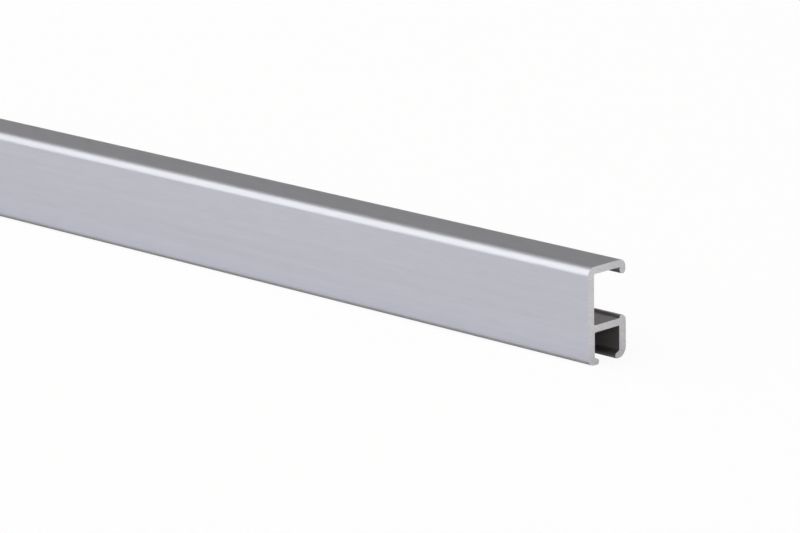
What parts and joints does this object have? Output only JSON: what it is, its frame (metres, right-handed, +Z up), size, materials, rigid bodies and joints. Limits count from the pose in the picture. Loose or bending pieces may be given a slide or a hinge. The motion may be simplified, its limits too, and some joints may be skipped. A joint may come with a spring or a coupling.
{
  "type": "picture hanging rail",
  "caption": "Length of satin aluminium picture rail: flat front, clip channel behind it and a hanger channel open at the bottom.",
  "frame": {"origin": "under the middle of the rail, centred in its depth, level with its lowest edge", "axes": "+X along the rail, -Y out of the front face that shows on the wall, +Y towards the wall, +Z up"},
  "size_m": [1, 0.011, 0.02],
  "materials": {
    "anodised_aluminium": "satin anodised, fine lines along the rail, sawn ends"
  },
  "bodies": {
    "root": {"rail_profile": "anodised_aluminium"}
  },
  "joints": []
}
